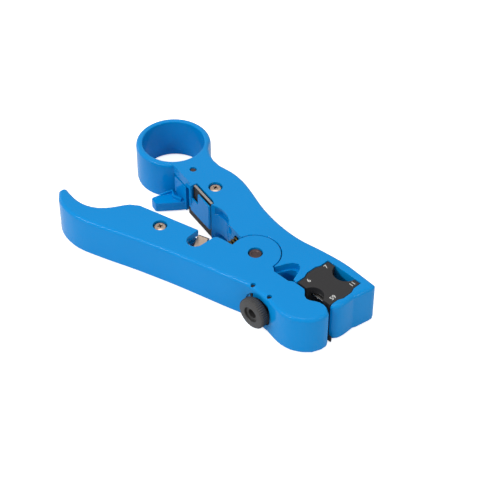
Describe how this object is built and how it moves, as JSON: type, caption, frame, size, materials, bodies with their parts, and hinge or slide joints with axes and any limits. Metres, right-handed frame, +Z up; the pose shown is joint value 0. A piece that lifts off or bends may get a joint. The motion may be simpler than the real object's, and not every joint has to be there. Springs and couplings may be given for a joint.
{
  "type": "cable stripper",
  "caption": "Flat pocket cable stripper: finger-ring arm and sprung grip on one pivot, lift-out stripping cassette, round-cable eye with screw-set blade, side cutter.",
  "frame": {"origin": "on the surface that the tool lies on, under the middle of its bounding box", "axes": "+X along the closed jaws towards the end of the head, +Y towards the ring arm's side, +Z up through the tool's thickness"},
  "size_m": [0.1182, 0.0672, 0.0162],
  "materials": {
    "blue_plastic": "moulded, satin gloss",
    "black_plastic": "moulded, fine matt",
    "grey_plastic": "moulded, knurled",
    "bright_steel": "ground",
    "dark_steel": "blackened",
    "gilt_steel": "yellow passivated wire"
  },
  "bodies": {
    "body": {"main_body": "blue_plastic", "arm_plate": "bright_steel", "arm_screw": "bright_steel", "lever_pin": "dark_steel", "pivot_pin": "dark_steel", "pivot_clip": "bright_steel", "return_spring": "gilt_steel"},
    "grip": {"grip_arm": "blue_plastic", "cutter_blade": "bright_steel", "grip_screw": "bright_steel", "knob_pin_left": "dark_steel", "knob_pin_right": "dark_steel"},
    "lever": {"lock_lever": "blue_plastic"},
    "cassette": {"coax_cassette": "black_plastic", "cassette_outer_blade": "bright_steel", "cassette_middle_blade": "bright_steel", "cassette_inner_blade": "bright_steel"},
    "knob": {"depth_knob": "grey_plastic", "depth_screw": "bright_steel"},
    "carrier": {"blade_carrier": "black_plastic", "eye_blade": "bright_steel"}
  },
  "joints": [
    {"name": "grip_pivot", "type": "hinge", "parent": "body", "child": "grip", "pos_m": [0.01934, -0.00068, 0.0081], "axis": [0, 0, -1], "range_deg": [0, 24], "stiffness_Nm_per_rad": 0.25, "springref_deg": -22.92, "deforming": ["return_spring"]},
    {"name": "lever_swing", "type": "hinge", "parent": "body", "child": "lever", "pos_m": [-0.02806, 0.01392, 0.005], "axis": [0, 0, 1], "range_deg": [0, 8]},
    {"name": "cassette_lift", "type": "slide", "parent": "body", "child": "cassette", "axis": [0, 0, 1], "range_m": [0, 0.0165]},
    {"name": "knob_turn", "type": "hinge", "parent": "grip", "child": "knob", "pos_m": [0.03393, -0.0147, 0.0081], "axis": [0, -1, 0], "range_deg": [0, 360]},
    {"name": "carrier_feed", "type": "slide", "parent": "grip", "child": "carrier", "axis": [0, 1, 0], "range_m": [0, 0.00075]}
  ],
  "couplings": [
    {"joint": "carrier_feed", "follows": "knob_turn", "m_per_rad": 0.00011141}
  ]
}
